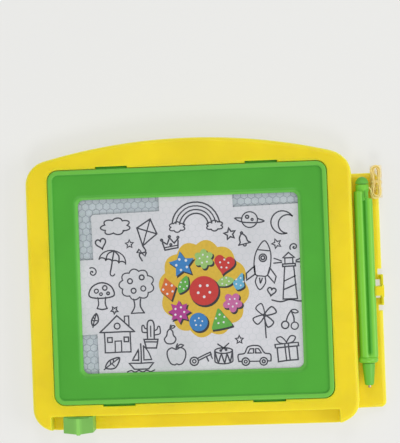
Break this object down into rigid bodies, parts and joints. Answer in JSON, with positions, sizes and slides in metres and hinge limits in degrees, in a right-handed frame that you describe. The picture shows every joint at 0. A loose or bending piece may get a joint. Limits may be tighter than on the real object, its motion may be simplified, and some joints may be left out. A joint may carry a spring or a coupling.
{
  "type": "magnetic drawing board",
  "caption": "Magnetic drawing board: moulded tray with an arched top, snap-in frame, honeycomb screen, eraser slide with a thumb knob, and a tethered stylus clipped on a side shelf.",
  "frame": {"origin": "on the back face, under the centre of the screen", "axes": "+Z out of the screen, +X towards the stylus shelf, +Y towards the arched top"},
  "size_m": [0.1863, 0.1534, 0.0161],
  "materials": {
    "yellow_plastic": "satin injection-moulded plastic",
    "green_plastic": "satin injection-moulded plastic",
    "knob_plastic": "satin injection-moulded plastic",
    "carrier_plastic": "matt moulded plastic",
    "magnet_strip": "flexible ferrite-loaded strip",
    "clear_film": "clear plastic film",
    "honeycomb": "plastic cells filled with white fluid and iron powder",
    "edge_seal": "welded plastic rim",
    "back_film": "white plastic film",
    "printed_sheet": "printed card with small line drawings",
    "barrel_plastic": "satin injection-moulded plastic",
    "cap_plastic": "satin injection-moulded plastic",
    "nib_plastic": "satin injection-moulded plastic",
    "tip_steel": "plated steel",
    "tether_string": "thin twisted string"
  },
  "bodies": {
    "board": {"base_tray": "yellow_plastic", "front_frame": "green_plastic", "screen_front_film": "clear_film", "screen_honeycomb_core": "honeycomb", "screen_edge_seal": "edge_seal", "screen_back_film": "back_film", "picture_sheet": "printed_sheet", "tether_knot": "tether_string", "tether_board_lead": "tether_string", "tether_hank": "tether_string", "tether_stylus_lead": "tether_string"},
    "eraser": {"slider_carrier": "carrier_plastic", "eraser_magnet": "magnet_strip", "slider_knob": "knob_plastic"},
    "stylus": {"stylus_barrel": "barrel_plastic", "stylus_cap": "cap_plastic", "stylus_nib": "nib_plastic", "stylus_magnet": "tip_steel"}
  },
  "joints": [
    {"name": "eraser_slide", "type": "slide", "parent": "board", "child": "eraser", "axis": [1, 0, 0], "range_m": [-0.006, 0.1275]},
    {"name": "stylus_lift", "type": "slide", "parent": "board", "child": "stylus", "axis": [0, 0, 1], "range_m": [0, 0.03], "deforming": ["tether_stylus_lead"]}
  ]
}
